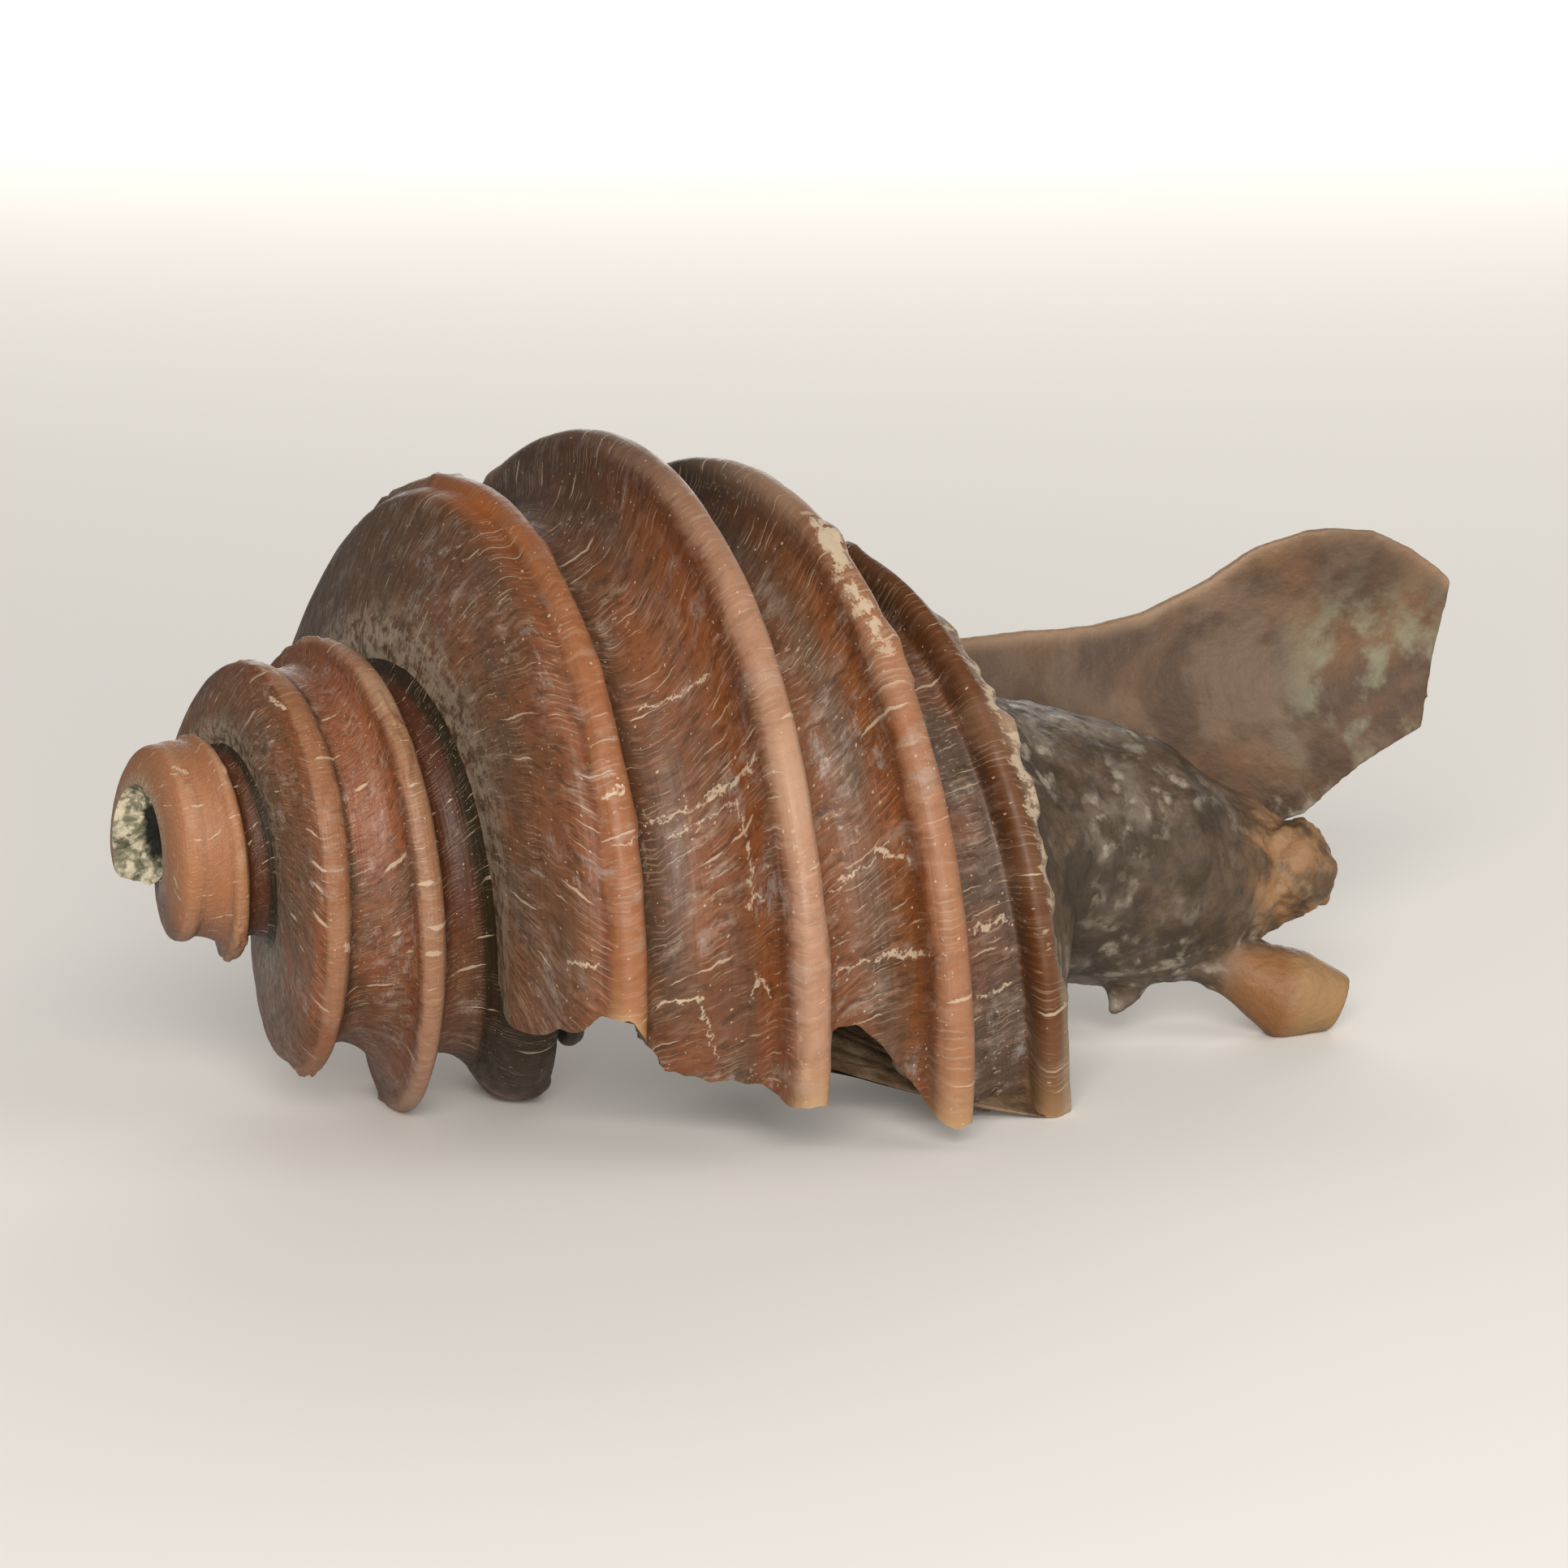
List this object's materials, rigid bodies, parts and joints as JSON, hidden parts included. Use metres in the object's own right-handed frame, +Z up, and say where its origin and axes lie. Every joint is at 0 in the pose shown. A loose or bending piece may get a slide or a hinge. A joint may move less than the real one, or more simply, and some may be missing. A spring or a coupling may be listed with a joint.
{
  "type": "fossil snail shell",
  "caption": "Fossil sea snail shell with bold spiral flanges, its outer lip broken back and its canal open, lying on the broken lip",
  "frame": {"origin": "centre of the bounding box in plan, on the plane that the shell lies on", "axes": "+X runs along the shell from its tip to its canal, +Z is up as it lies, and -Y is the side that the picture shows"},
  "size_m": [0.0706, 0.0386, 0.0311],
  "materials": {
    "fossil_shell": "waxy reddish-brown fossil shell with greyish translucent patches, pale growth lines and chalky worn spots"
  },
  "bodies": {
    "root": {"shell": "fossil_shell"}
  },
  "joints": []
}
